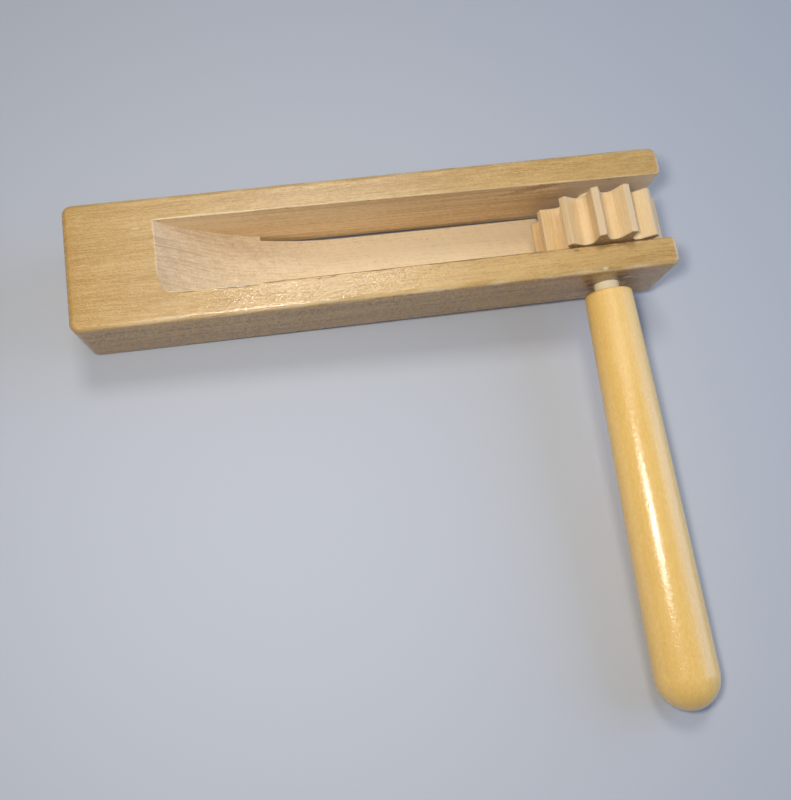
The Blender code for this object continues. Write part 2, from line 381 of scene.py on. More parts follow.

# Dark marks on the block's outside, dirt and painted shade, in millimetres: place, reach along X, Y and Z,
# and strength
BLOCK_DIRT_AND_SHADE = (
    # Darker round the axle, behind the handle's neck
    ((178, -21.5, 4), (9, 3, 6), 0.3),
    # Painted shadow in the gap at the left edge of the axle's hole
    ((171.8, -21.5, 1.3), (1.4, 2, 2.2), 0.8),
    ((169.5, -21.5, 6.4), (1.6, 2, 1.5), 0.4),
    ((180.6, -21.5, 7.2), (2.4, 2, 1.3), 0.55),
    ((165, -13.2, 14), (1.2, 0.6, 1), 0.5),
    ((51.2, -12.4, 14), (2.6, 0.5, 1), 0.5),
    ((59.1, -12.2, 14), (2.2, 0.5, 1), 0.5),
)
BLOCK_CHIPS = (
    ((173.6, -20.6, 14), (1.3, 0.8, 1), 0.8),
    ((183.9, -21.5, 5.5), (2.3, 2, 0.7), 0.9),
    ((183.8, -21.5, -1), (2, 2, 2.4), 0.4),
    ((22.9, 10.75, 14), (1.6, 0.4, 1), 0.5),
)

# Marks on the slot's rear wall beside the cog: place, reach, climb in Z along X, and strength
WALL_SMEARS = (
    ((157, 11.6, 12), (14, 3, 2.4), 0.3, 0.6),
    ((181.6, 11.4, 13.5), (1.3, 3, 0.9), 0.0, 0.8),
)
WALL_CHIPS = (
    ((185, 11.4, 13.4), (1.7, 3, 0.7), 0.0, 0.8),
    ((183, 11.2, 10.8), (4.5, 3, 1.5), 0.0, 0.4),
)


def edge_distance(wood):
    """Distance in millimetres from a place on the block to the nearest of its outer edges."""
    middle, half = (BLOCK_LOW + BLOCK_HIGH) / 2 / MM, (BLOCK_HIGH - BLOCK_LOW) / 2 / MM
    a, b, c = [h - abs(v - m) for v, m, h in zip((wood.x, wood.y, wood.z), middle, half)]
    nearer, further = a.math("MINIMUM", b), a.math("MAXIMUM", b)
    return nearer.math("MAXIMUM", further.math("MINIMUM", c))


def slot_distances(wood, block):
    """Distances in millimetres from a place on the block's top to the slot's front rim, and to the others."""
    slope = (block.mouth_width - block.slot_width) / (BLOCK_HIGH.x - block.slot_end)
    rear = rear_wall(block, 0) / MM + slope * wood.x
    front = slot_front(block) / MM - wood.y
    return front, (wood.y - rear).math("MAXIMUM", block.slot_end / MM - wood.x)


def block_varnish(block):
    """Honey-coloured satin varnish over beech, rubbed through along the edges, where it also paints a
    highlight, with a painted highlight along the slot's rims and dirt and painted shade round the axle.

    The two long sides are mixed towards a streaked brown that is painted shade, and the varnish on the front
    rail is rippled.
    """
    material = new_material("block_varnish")
    wood = wood_fields(material, "X", BLOCK_PITH, BLOCK_RING_GAP)
    sides = abs(wood.normal.vector("DOT_PRODUCT", (0, 1, 0), output=1)).step(0.6, 0.95)
    bands = wood.grain.speckle((0.006, 0.16, 0.16), 2.0)
    tone = 0.55 + 1.2 * wood.blotch + 1.5 * bands + (2.2 + 0.8 * sides) * wood.fibres
    tone = tone + (0.8 + 3.2 * sides) * wood.mottle + (1.8 + 3.2 * sides) * wood.fine
    tone = tone - 0.12 * wood.rings - 0.3 * wood.flecks
    streaks = 0.9 * wood.mm.speckle((0.025, 0.3, 0.7), 3.0) + wood.mm.speckle((1.6, 1.0, 0.6), 1.0)
    colour = (tone + 3.2 * sides * streaks).mix(block.varnish_deep, block.varnish_pale)
    # Painted shade: both long sides are mixed towards a streaked brown.
    colour = (sides * (0.5 + 2.2 * streaks)).mix(colour, block.shaded_side_brown)
    colour = (0.5 * wood.ends).mix(colour, block.end_brown)
    edge = edge_distance(wood)
    closed_end = 1 - wood.x.step(3, 34)
    colour = (0.5 * closed_end * (1 - edge.step(0.8, 6))).mix(colour, block.edge_amber)
    ragged = 2.6 * wood.grain.speckle((0.1, 0.6, 0.6), 3.0) + 1.5 * wood.mottle
    front_rim, other_rims = slot_distances(wood, block)
    on_top = wood.z.step(11, 12.5)
    # Pale along the outer edges: varnish rubbed through, which also paints the highlight on the rounded
    # edges.
    rubbed = 1 - (edge + ragged).step(0.2, 1.6)
    colour = ((0.55 - 0.4 * closed_end) * rubbed).mix(colour, block.bare_and_highlight)
    # Painted highlight: a pale line along the slot's rear rim and its closed end, strongest on the rear rim.
    painted_rim_highlight = (1 - abs(other_rims - 0.2 + 0.5 * ragged).step(0.1, 0.5)) * on_top
    painted_rim_highlight = painted_rim_highlight * (1 - front_rim.step(-8, -5))
    colour = ((0.2 + 0.3 * wood.y.step(8, 10)) * painted_rim_highlight).mix(colour, block.bare_and_highlight)
    # Darker along the slot's front rim, from the scooped end on, with a ragged edge.
    dark_front_rim = (1 - (abs(front_rim) + 1.2 * ragged).step(0.1, 0.7)) * on_top * wood.x.step(33, 36)
    colour = (0.5 * dark_front_rim).mix(colour, block.dirt_and_shade)
    sparkle = wood.grain.speckle((1.6, 2.6, 2.6), 2.0, 0.6)
    rippled = (1 - wood.y.step(-12, -7)) * wood.x.step(24, 60) * (1 - wood.x.step(80, 130))
    ripple = wood.grain.speckle((1.1, 2.1, 2.1), 1.0)
    height = 0.8 * wood.fibres + 0.5 * wood.mottle + 1.8 * sparkle + 0.6 * wood.fine
    height = (1 - 0.7 * rippled) * height + 2.2 * rippled * ripple
    height = height - 0.2 * wood.flecks - 0.6 * dark_front_rim
    # Dark marks: dirt, and painted shadow beside the axle's hole.
    for centre, reach, share in BLOCK_DIRT_AND_SHADE:
        colour = (share * spot(wood, centre, reach)).mix(colour, block.dirt_and_shade)
    for centre, reach, share in BLOCK_CHIPS:
        chip = share * spot(wood, centre, reach)
        colour = chip.mix(colour, block.bare_and_highlight)
        height = height + 1.5 * chip
    roughness = 0.15 + 0.3 * wood.fine + 0.3 * wood.mottle + 0.1 * wood.flecks
    roughness = roughness + 0.15 * rubbed - 0.03 * rippled
    constants = {"Specular IOR Level": 0.8, "Coat Weight": 0.1, "Coat Roughness": 0.2, "Coat IOR": 1.5}
    return lay_finish(material, colour, roughness, height, 0.08 * MM, constants)


def scoop_wood(block):
    """Raw beech as the cutter left it: growth rings in the scoop and faint chatter marks across it."""
    material = new_material("scoop_wood")
    wood = wood_fields(material, "X", BLOCK_PITH, BLOCK_RING_GAP)
    steep = 1 - wood.x.step(43, 56)
    year = (1 - abs(wood.radius - DARK_YEAR).step(0.08, 0.4)) * (1 - wood.x.step(36, 48))
    chatter = (wood.x * 1.3 + wood.y * 0.7 + 9 * wood.mm.speckle((0.02, 0.05, 0.02))).math("SINE")
    lines = wood.mm.speckle((0.05, 1.5, 0.35), 3.0, 0.6)
    tone = 0.93 + 0.8 * wood.blotch + 0.5 * wood.fibres + 1.1 * lines + 0.6 * wood.mottle + 1.2 * wood.fine
    tone = tone - 0.85 * wood.cut - 0.3 * wood.rings * steep - 0.6 * year
    tone = tone - 0.12 * wood.flecks + 0.04 * chatter
    colour = tone.mix(block.raw_deep, block.raw_pale)
    roughness = 0.6 + 0.3 * wood.fine
    height = 0.5 * wood.fibres + 0.3 * wood.mottle + 0.5 * lines + 0.6 * wood.fine
    height = height - 0.3 * wood.flecks + 0.2 * chatter
    return lay_finish(material, colour, roughness, height, 0.06 * MM, {"Specular IOR Level": 0.35})


def slot_wall_wood(block):
    """The slot's sawn walls: fine lines along the grain, rubbed and dirty beside the cog."""
    material = new_material("slot_wall_wood")
    wood = wood_fields(material, "X", BLOCK_PITH, BLOCK_RING_GAP)
    saw_lines = wood.mm.speckle((0.012, 0.3, 1.9), 3.0, 0.6)
    tone = 0.66 + 1.3 * wood.blotch + 3.2 * saw_lines + 1.6 * wood.mottle + 1.4 * wood.fine
    # Painted shade: the wall darkens towards its top rim. It also darkens towards the cog's end.
    tone = tone - 0.15 * wood.flecks - 0.25 * wood.x.step(70, 150) - 0.2 * wood.z.step(9, 13.5)
    colour = tone.mix(block.wall_deep, block.wall_pale)
    drift = wood.mm.speckle((0.05, 0.05, 0.22), 3.0)
    beside_cog = (wood.x + 30 * drift).step(158, 172)
    colour = (0.6 * beside_cog).mix(colour, block.rubbed)
    for centre, reach, slope, share in WALL_SMEARS:
        colour = (share * spot(wood, centre, reach, 0.8, slope)).mix(colour, block.smear)
    for centre, reach, slope, share in WALL_CHIPS:
        colour = (share * spot(wood, centre, reach, 0.8, slope)).mix(colour, block.bare_and_highlight)
    roughness = 0.55 + 0.3 * wood.fine
    height = 1.2 * saw_lines + 0.5 * wood.mottle + 0.6 * wood.fine
    return lay_finish(material, colour, roughness, height, 0.06 * MM, {"Specular IOR Level": 0.4})


def edge_of_cog(wood):
    """Distance in millimetres from a place on the cog to the nearer of its two faces."""
    middle, half = (COG_LOW.y + COG_HIGH.y) / 2 / MM, (COG_HIGH.y - COG_LOW.y) / 2 / MM
    return half - abs(wood.y - middle)


def cog_wood(cog):
    """Raw beech along the axle, with worn lands and brown, speckled end grain on the faces."""
    material = new_material("cog_wood")
    wood = wood_fields(material, "Y", COG_PITH, COG_RING_GAP)
    reach = ((wood.x - AXLE_X / MM) ** 2 + wood.z ** 2) ** 0.5
    tip = cog.radius / MM
    land = (reach + 2.5 * wood.mottle).step(tip - 0.9, tip - 0.2)
    most_worn = spot(wood, (AXLE_X / MM - 5, -3, tip - 2), (7, 30, 8), 0.2)
    tone = 0.28 + 1.2 * wood.blotch + 1.8 * wood.fibres + 0.8 * wood.mottle + 0.8 * wood.fine
    # Painted shade: the teeth deep in the slot, below the tongue's tip, are darker.
    tone = tone - 0.15 * wood.rings - 0.2 * wood.flecks + 0.5 * wood.x.step(160, 168)
    colour = tone.mix(cog.deep, cog.pale)
    colour = ((0.4 + 0.2 * most_worn) * land).mix(colour, cog.worn)
    pores = wood.mm.speckle((1.3, 1.3, 1.3), 2.0, 0.7)
    face = (0.7 + 2.6 * pores).mix(cog.deep, cog.end_grain)
    rim = 1 - edge_of_cog(wood).step(0.15, 0.7)
    colour = wood.ends.mix(colour, face)
    colour = (0.6 * rim * (1 - wood.ends)).mix(colour, cog.worn)
    roughness = 0.6 + 0.3 * wood.fine + 0.1 * wood.ends
    height = 0.6 * wood.fibres + 0.6 * wood.mottle + 0.6 * wood.fine - 0.3 * wood.flecks
    return lay_finish(material, colour, roughness, height, 0.07 * MM, {"Specular IOR Level": 0.35})


def dowel_wood(crank):
    """Pale raw birch dowel."""
    material = new_material("dowel_wood")
    wood = wood_fields(material, "Y", DOWEL_PITH, DOWEL_RING_GAP)
    tone = 0.6 + 1.2 * wood.blotch + 0.9 * wood.fibres + 0.5 * wood.mottle + 0.4 * wood.fine
    tone = tone - 0.2 * wood.rings
    colour = tone.mix(crank.dowel_deep, crank.dowel_pale)
    colour = (0.5 * wood.ends).mix(colour, crank.dowel_end)
    roughness = 0.6 + 0.3 * wood.fine
    height = 0.6 * wood.fibres + 0.5 * wood.mottle + 0.6 * wood.fine
    return lay_finish(material, colour, roughness, height, 0.05 * MM, {"Specular IOR Level": 0.35})


def handle_varnish(crank):
    """Glossy honey-coloured varnish with a fine orange-peel ripple, duller towards the neck."""
    material = new_material("handle_varnish")
    wood = wood_fields(material, "Y", HANDLE_PITH, HANDLE_RING_GAP)
    tone = 0.58 + 1.2 * wood.blotch + 0.7 * wood.fibres + 1.3 * wood.mottle + 1.2 * wood.fine
    tone = tone - 0.12 * wood.rings - 0.3 * wood.flecks
    colour = tone.mix(crank.handle_deep, crank.handle_pale)
    peel = wood.mm.speckle((1.4, 1.2, 1.4), 2.0, 0.6)
    dull_neck = wood.y.step(-75, -40)
    roughness = 0.2 + 0.35 * wood.fine + 0.3 * dull_neck
    height = 1.2 * peel + 0.3 * wood.fibres + 0.4 * wood.fine
    constants = {"Specular IOR Level": 0.65, "Coat Weight": 0.15, "Coat Roughness": 0.3, "Coat IOR": 1.5}
    return lay_finish(material, colour, roughness, height, 0.07 * MM, constants)


# Meshes

def spread(start, end, steps):
    return [start + (end - start) * i / steps for i in range(steps + 1)]


def round_off(distance, radius):
    """Sideways offset of a quarter circle at a distance from the end that it rounds off."""
    into = min(radius, max(0, radius - distance))
    return radius - math.sqrt(radius**2 - into**2)


def rim_points(radius, steps=RIM_STEPS):
    """A rounded rim as (outward, towards the face) offsets, with its run-out just past the face."""
    points = [(radius * (1 - math.cos(a)), radius * (math.sin(a) - 1)) for a in spread(0, RIM_SWEEP, steps)]
    out, depth = points[-1]
    run = 0.4 * radius + 0.1 * MM
    return points + [(out + run * math.sin(RIM_SWEEP), depth + run * math.cos(RIM_SWEEP))]


def filleted_outline(corners):
    """Points and outward normals of a polygon with round corners.

    Its corners are (x, y, radius, steps), counter-clockwise.
    """
    outline = []
    for i, (x, y, radius, steps) in enumerate(corners):
        corner = Vector((x, y))
        back = (Vector(corners[i - 1][:2]) - corner).normalized()
        ahead = (Vector(corners[(i + 1) % len(corners)][:2]) - corner).normalized()
        half = back.angle(ahead) / 2
        centre = corner + (back + ahead).normalized() * radius / math.sin(half)
        side = 1 if (-back).x * ahead.y - (-back).y * ahead.x > 0 else -1
        first = corner + back * radius / math.tan(half) - centre
        for turn in spread(0, side * (math.pi - 2 * half), steps):
            spoke = Matrix.Rotation(turn, 2) @ first
            outline.append((centre + spoke, side * spoke.normalized()))
    return outline


def slab_rings(outline, low, high, edge, steps, place):
    """Rings of a slab between two levels, with the outline's upper and lower edges rounded off."""
    turns = spread(0, math.pi / 2, steps)
    levels = [(edge * (1 - math.sin(a)), low + edge * (1 - math.cos(a))) for a in turns]
    levels += [(inset, low + high - level) for inset, level in reversed(levels)]
    return [[place(*(point - normal * inset), level) for point, normal in outline] for inset, level in levels]


def lathe_rings(profile, steps=ROUND_STEPS):
    """Rings round the axle's line for a profile of (radius, y)."""
    turns = [2 * math.pi * i / steps for i in range(steps)]

    def ring(radius, y):
        return [Vector((AXLE_X + radius * math.cos(a), y, radius * math.sin(a))) for a in turns]

    return [ring(radius, y) for radius, y in profile]


def loft_mesh(name, rings):
    """A closed mesh through rings of points, with a face over the first ring and over the last."""
    work = bmesh.new()
    loops = [[work.verts.new(point) for point in ring] for ring in rings]
    work.faces.new(loops[0])
    work.faces.new(reversed(loops[-1]))
    for loop, following in zip(loops, loops[1:]):
        for i in range(len(loop)):
            work.faces.new((loop[i - 1], loop[i], following[i], following[i - 1]))
    bmesh.ops.recalc_face_normals(work, faces=work.faces)
    mesh = bpy.data.meshes.new(name)
    work.to_mesh(mesh)
    work.free()
    return mesh


def show(name, mesh):
    made = bpy.data.objects.new(name, mesh)
    bpy.context.scene.collection.objects.link(made)
    return made


def carve(piece, *cutters):
    """Cuts the cutters out of a piece for good, and removes them."""
    for cutter in cutters:
        modifier = piece.modifiers.new(cutter.name, "BOOLEAN")
        modifier.operation = "DIFFERENCE"
        modifier.object = cutter
        modifier.material_mode = "INDEX"
    bpy.context.view_layer.update()
    graph = bpy.context.evaluated_depsgraph_get()
    uncut = piece.data
    carved = bpy.data.meshes.new_from_object(piece.evaluated_get(graph))
    if len(carved.polygons) <= len(uncut.polygons):
        raise RuntimeError(f"{piece.name} came out uncut")
    piece.modifiers.clear()
    piece.data = carved
    bpy.data.meshes.remove(uncut)
    for cutter in cutters:
        bpy.data.objects.remove(cutter)


def smooth(piece, angle=40):
    """Shades a piece smoothly, with flat faces kept flat and edges sharper than the angle kept crisp."""
    piece.data.shade_smooth()
    piece.data.set_sharp_from_angle(angle=math.radians(angle))
    piece.modifiers.new("flat_faces_flat", "WEIGHTED_NORMAL").keep_sharp = True


def coat(piece, *finishes):
    piece.data.materials.clear()
    for finish in finishes:
        piece.data.materials.append(finish)


# Slotted block and tongue

VARNISH, SCOOP, WALL = range(3)
LEAST_WALL = 0.2 * MM
# Turn at which the slot's round corner starts, past the lip of the scoop
CORNER_START = 0.35
# The scoop's floor gives way to the open slot over this length.
FLOOR_STEP = 0.02 * MM
MOUTH_RUN = 0.3 * MM
HOLE_ROUND = 0.3 * MM
# What is left of the rounding of the tongue's edges at its very tip
TIP_EDGE = 0.04 * MM


def block_finishes(block):
    """The block's three finishes, made once and shared with the tongue."""
    makers = {"block_varnish": block_varnish, "scoop_wood": scoop_wood, "slot_wall_wood": slot_wall_wood}
    return [bpy.data.materials.get(name) or make(block) for name, make in makers.items()]


def slot_front(block):
    return BLOCK_LOW.y + block.rail


def rear_wall(block, x):
    """Y of the slot's far wall, which runs in slightly towards the mouth."""
    share = (x - block.slot_end) / (BLOCK_HIGH.x - block.slot_end)
    return slot_front(block) + block.slot_width + (block.mouth_width - block.slot_width) * share


def scoop_bottom(block):
    """X where the cutter's arc meets the flat of the tongue."""
    depth = BLOCK_HIGH.z - BLOCK_LOW.z - block.blade
    return block.slot_end + math.sqrt(depth * (2 * block.scoop_radius - depth))


def scoop_height(block, x):
    """Height of the slot's floor: an arc of the cutter, then flat."""
    run = min(0, x - scoop_bottom(block))
    return BLOCK_LOW.z + block.blade + block.scoop_radius - math.sqrt(block.scoop_radius**2 - run**2)


def slot_section(block, x, floor, front, rear, drop):
    """Ring of the slot's space at x: up the rear wall, over the top, and down the front wall.

    With a floor the walls stand on it. Without one they run through the underside, over rounded rims.
    """
    top, underside = BLOCK_HIGH.z - drop, BLOCK_LOW.z + drop
    rim = block.rim_round
    if floor is not None:
        tall = max(top - floor, LEAST_WALL)
        top = max(top, floor + tall)
        rim = min(rim, 0.45 * tall)
    upper = [(out, top + depth) for out, depth in rim_points(rim)]
    upper.append((upper[-1][0], BLOCK_HIGH.z + 3 * PAST_FACE))
    if floor is None:
        lower = [(out, underside - depth) for out, depth in reversed(rim_points(rim))]
        lower.insert(0, (lower[0][0], BLOCK_LOW.z - PAST_FACE))
    else:
        lower = [(0, z) for z in spread(floor, top - rim, len(upper))[:-1]]
    wall = lower + upper
    rear_side = [Vector((x, rear + out, z)) for out, z in wall]
    front_side = [Vector((x, front - out, z)) for out, z in wall]
    return rear_side + front_side[::-1]


def slot_rings(block):
    """Sections of the slot's space, from its scooped end out through the mouth."""
    slope = math.acos(1 - (BLOCK_HIGH.z - BLOCK_LOW.z - block.blade) / block.scoop_radius)
    lip = block.rim_round
    lip_start = block.slot_end - lip * math.tan(slope / 2)
    short = math.pi / 2 - RIM_SWEEP
    turns = spread(short, slope, 5)
    places = [(lip_start + lip * math.sin(a), BLOCK_HIGH.z - lip * (1 - math.cos(a))) for a in turns]
    x, z = places[0]
    places.insert(0, (x - PAST_FACE * math.cos(short), z + PAST_FACE * math.sin(short)))
    corner_turns = spread(CORNER_START, math.pi / 2, 16)
    scoop = [block.slot_end + block.slot_corner * (1 - math.cos(a)) for a in corner_turns]
    scoop += spread(scoop[-1], block.kerf_end, 36)[1:]
    places += [(x, scoop_height(block, x)) for x in scoop]
    rings = []
    widen = block.slot_corner_width / block.slot_corner
    for x, floor in places:
        front = slot_front(block) + widen * round_off(x - block.slot_end, block.slot_corner)
        front += block.slot_taper * max(0, 1 - (x - block.slot_end) / block.slot_taper_run)
        rear = rear_wall(block, x) - round_off(x - block.slot_end, block.rim_round)
        rings.append(slot_section(block, x, floor, front, rear, 0))
    through = spread(block.kerf_end + FLOOR_STEP, BLOCK_HIGH.x - block.mouth_corner, 40)
    mouth = [BLOCK_HIGH.x - block.mouth_corner * (1 - math.sin(a)) for a in spread(0, RIM_SWEEP, 8)[1:]]
    for x in through + mouth + [BLOCK_HIGH.x + MOUTH_RUN]:
        flare = round_off(BLOCK_HIGH.x - x, block.mouth_corner)
        if x > BLOCK_HIGH.x:
            flare += (x - BLOCK_HIGH.x) * math.tan(RIM_SWEEP)
        drop = round_off(BLOCK_HIGH.x - x, block.edge_round)
        waver = UNEVEN * noise.noise((x / SLOT_WAVE, 0, 0))
        rear = rear_wall(block, x) + flare + waver
        rings.append(slot_section(block, x, None, slot_front(block) - flare + waver, rear, drop))
    return rings


def slot_cutter(block):
    """The slot's space as a cutter that marks the faces it leaves as scoop, wall or varnished rim."""
    cutter = show("slot_cutter", loft_mesh("slot_cutter", slot_rings(block)))
    coat(cutter, *block_finishes(block))
    rim_low = BLOCK_HIGH.z - 1.05 * block.rim_round
    for face in cutter.data.polygons:
        if face.normal.z < -0.3 and face.center.x < block.kerf_end:
            face.material_index = SCOOP
        elif -rim_low < face.center.z < rim_low:
            face.material_index = WALL
    return cutter


def hole_cutter(block):
    """The axle's holes through both rails, with softened edges."""
    bore = AXLE_RADIUS + block.hole_gap
    rim = [(bore + out, depth) for out, depth in rim_points(HOLE_ROUND, 3)]
    rails = [(BLOCK_LOW.y, slot_front(block)), (rear_wall(block, AXLE_X), BLOCK_HIGH.y)]
    profile = [(rim[-1][0], BLOCK_LOW.y - PAST_FACE)]
    for near, far in rails:
        profile += [(radius, near - depth) for radius, depth in reversed(rim)]
        profile += [(radius, far + depth) for radius, depth in rim]
    profile.append((rim[-1][0], BLOCK_HIGH.y + PAST_FACE))
    cutter = show("hole_cutter", loft_mesh("hole_cutter", lathe_rings(profile, BORE_STEPS)))
    coat(cutter, *block_finishes(block))
    for face in cutter.data.polygons:
        face.material_index = WALL
    return cutter


class RATCHET_OT_slotted_block(bpy.types.Operator):
    """Builds the block: rounded outside, slotted by a round cutter, with holes for the axle"""

    bl_idname = "ratchet.slotted_block"
    bl_label = "Slotted Block"

    def execute(self, context):
        block = context.scene.ratchet_block
        # The wood lies a hair inside the solid.
        low, high = BLOCK_LOW + Vector((HAIR,) * 3), BLOCK_HIGH - Vector((HAIR,) * 3)
        # The upright corners aren't rounded alike: each has its own share of the rounding.
        corners = [(low.x, low.y, 1.0), (high.x, low.y, 0.9), (high.x, high.y, 1.25), (low.x, high.y, 1.1)]
        outline = filleted_outline([(x, y, share * block.corner_round, 10) for x, y, share in corners])
        rings = slab_rings(outline, low.z, high.z, block.edge_round, 5, lambda x, y, z: Vector((x, y, z)))
        piece = show("slotted_block", loft_mesh("slotted_block", rings))
        coat(piece, *block_finishes(block))
        carve(piece, slot_cutter(block), hole_cutter(block))
        smooth(piece)
        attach(piece, "frame")
        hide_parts("frame")
        return {"FINISHED"}


class RATCHET_OT_spring_tongue(bpy.types.Operator):
    """Builds the springy tongue, which bends on from the ends of the saw cuts"""

    bl_idname = "ratchet.spring_tongue"
    bl_label = "Spring Tongue"

    def execute(self, context):
        block = context.scene.ratchet_block
        rings = []
        bottom = scoop_bottom(block)
        for x in spread(block.kerf_end, TIP_X - block.blade_edge, 70) + [TIP_X]:
            lift = block.lift * max(0, (x - bottom) / (TIP_X - bottom))
            end = block.blade_edge - TIP_EDGE if x == TIP_X else 0
            front, rear = slot_front(block) + block.kerf + end, rear_wall(block, x) - block.kerf - end
            low, high = BLOCK_LOW.z + lift + end, scoop_height(block, x) + lift - end
            edge = block.blade_edge - end
            corners = [(front, low), (rear, low), (rear, high), (front, high)]
            outline = filleted_outline([(y, z, edge, 3) for y, z in corners])
            rings.append([Vector((x, *point)) for point, normal in outline])
        piece = show("spring_tongue", loft_mesh("spring_tongue", rings))
        coat(piece, *block_finishes(block))
        for face in piece.data.polygons:
            face.material_index = VARNISH if face.normal.z < -0.7 else SCOOP
        smooth(piece)
        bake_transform(piece)
        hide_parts("tongue")
        return {"FINISHED"}


# Cog, axle and handle

# The teeth were cut by hand: each is a little off its place and a little short.
TOOTH_TURN = math.radians(0.3)
TOOTH_SHORT = 0.12 * MM
# The edges of the axle's chamfers are eased by this much.
EASE = 0.1 * MM
BORE_PAST_AXLE = 0.3 * MM
BORE_CHAMFER = 0.2 * MM


def cog_corners(cog, lift):
    """Corners of the cog's outline: two for each land and one at the bottom of each flute."""
    half_land = math.asin(cog.land / 2 / cog.radius)
    pitch = 2 * math.pi / cog.teeth
    half_flute = pitch / 2 - half_land
    apex = cog.radius * (math.cos(half_flute) - math.sin(half_flute) / math.tan(cog.flute / 2))
    # At rest the tooth that clicked last lies just below the tongue's tip.
    tip_turn = math.atan2(BLOCK_LOW.z + lift, TIP_X - AXLE_X)
    phase = tip_turn + cog.tongue_gap / cog.radius + half_land
    chance = random.Random(12)
    corners = []
    for tooth in range(cog.teeth):
        middle = phase + tooth * pitch + chance.uniform(-TOOTH_TURN, TOOTH_TURN)
        reach = cog.radius - chance.uniform(0, TOOTH_SHORT)
        for turn in (middle - half_land, middle + half_land):
            corners.append((reach * math.cos(turn), reach * math.sin(turn), cog.land_round, 4))
        flute = phase + (tooth + 0.5) * pitch
        corners.append((apex * math.cos(flute), apex * math.sin(flute), cog.flute_round, 12))
    return corners


class RATCHET_OT_fluted_cog(bpy.types.Operator):
    """Builds the cog: V-shaped flutes between narrow lands, on a bore for the axle"""

    bl_idname = "ratchet.fluted_cog"
    bl_label = "Fluted Cog"

    def execute(self, context):
        scene = context.scene
        cog, crank, block = scene.ratchet_cog, scene.ratchet_crank, scene.ratchet_block
        outline = filleted_outline(cog_corners(cog, block.lift))
        rings = slab_rings(
            outline, COG_LOW.y, COG_HIGH.y, cog.face_round, 4, lambda x, z, y: Vector((AXLE_X + x, y, z))
        )
        piece = show("fluted_cog", loft_mesh("fluted_cog", rings))
        bore = AXLE_RADIUS + crank.bore_gap
        ends = [(bore, COG_LOW.y - PAST_FACE), (bore, COG_HIGH.y + PAST_FACE)]
        carve(piece, show("bore_cutter", loft_mesh("bore_cutter", lathe_rings(ends, BORE_STEPS))))
        coat(piece, cog_wood(cog))
        smooth(piece, 45)
        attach(piece, "crank")
        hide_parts("cog_wheel")
        return {"FINISHED"}


class RATCHET_OT_dowel_axle(bpy.types.Operator):
    """Builds the axle: a plain dowel with chamfered ends"""

    bl_idname = "ratchet.dowel_axle"
    bl_label = "Dowel Axle"

    def execute(self, context):
        crank = context.scene.ratchet_crank
        chamfer = crank.axle_chamfer
        rim = [(-chamfer - EASE, 0), (-chamfer, 0.3 * EASE), (-EASE, chamfer - 0.5 * EASE), (0, chamfer)]
        profile = [(AXLE_RADIUS + out, AXLE_LOW.y + inward) for out, inward in rim]
        profile += [(AXLE_RADIUS + out, AXLE_HIGH.y - inward) for out, inward in reversed(rim)]
        piece = show("dowel_axle", loft_mesh("dowel_axle", lathe_rings(profile)))
        coat(piece, dowel_wood(crank))
        smooth(piece, 50)
        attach(piece, "crank")
        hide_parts("axle")
        return {"FINISHED"}


def handle_profile(crank):
    """(radius, y) from the bore's inner end, over the neck and down the bellied taper to the butt."""
    face, end = HANDLE_HIGH.y, HANDLE_LOW.y
    butt = end + crank.butt_round
    bore = AXLE_RADIUS + crank.bore_gap
    profile = [(bore, AXLE_LOW.y - BORE_PAST_AXLE), (bore, face - BORE_CHAMFER), (bore + BORE_CHAMFER, face)]
    rounding = crank.neck_round
    inner, neck = crank.neck_radius - rounding, face - rounding
    for turn in spread(math.pi / 2, 0, 10):
        profile.append((inner + rounding * math.cos(turn), neck + rounding * math.sin(turn)))
    for y in spread(neck, butt, 60)[1:]:
        share = (neck - y) / (neck - butt)
        hand_turned = UNEVEN * abs(noise.noise((0, y / HANDLE_WAVE, 3)))
        swelling = crank.belly * math.sin(math.pi * share) - hand_turned
        profile.append((crank.neck_radius + (BUTT_RADIUS - crank.neck_radius) * share + swelling, y))
    for turn in spread(math.pi / 2, 0, 24)[1:-1]:
        profile.append((BUTT_RADIUS * math.sin(turn), butt - crank.butt_round * math.cos(turn)))
    return profile + [(0.02 * BUTT_RADIUS, end)]


class RATCHET_OT_turned_handle(bpy.types.Operator):
    """Builds the turned handle: rounded neck, slightly bellied taper and round butt"""

    bl_idname = "ratchet.turned_handle"
    bl_label = "Turned Handle"

    def execute(self, context):
        crank = context.scene.ratchet_crank
        piece = show("turned_handle", loft_mesh("turned_handle", lathe_rings(handle_profile(crank))))
        coat(piece, handle_varnish(crank))
        smooth(piece, 50)
        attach(piece, "crank")
        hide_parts("handle")
        return {"FINISHED"}


# Studio

# The camera's place and turn come from the block's edges in the photograph.
CAMERA_PLACE = Vector((70.548, -109.753, 276.128)) * MM
CAMERA_RIGHT = Vector((0.986876, -0.144018, 0.073039))
CAMERA_UP = Vector((0.12561, 0.968889, 0.213252))
CAMERA_LENS = 38.57
FLOOR_SIZE = 8
# The floor fades into the backdrop between these distances in metres.
FADE_START = 0.25
FADE_END = 1.0
BACKDROP = (0.96, 0.98, 1, 1)
BACKDROP_LIGHT = 0.8
KEY_PLACE = Vector((42, -86, 288)) * MM
KEY_SIZE = 36 * MM
TOP_PLACE = Vector((110, 330, 740)) * MM
TOP_SIZE = 200 * MM
SIDE_PLACE = Vector((1050, 60, 380)) * MM
SIDE_SIZE = 900 * MM
LIT_PLACE = Vector((110, -40, 0)) * MM
# From the handle's end to where it rests on the floor
BUTT_REST = 17 * MM


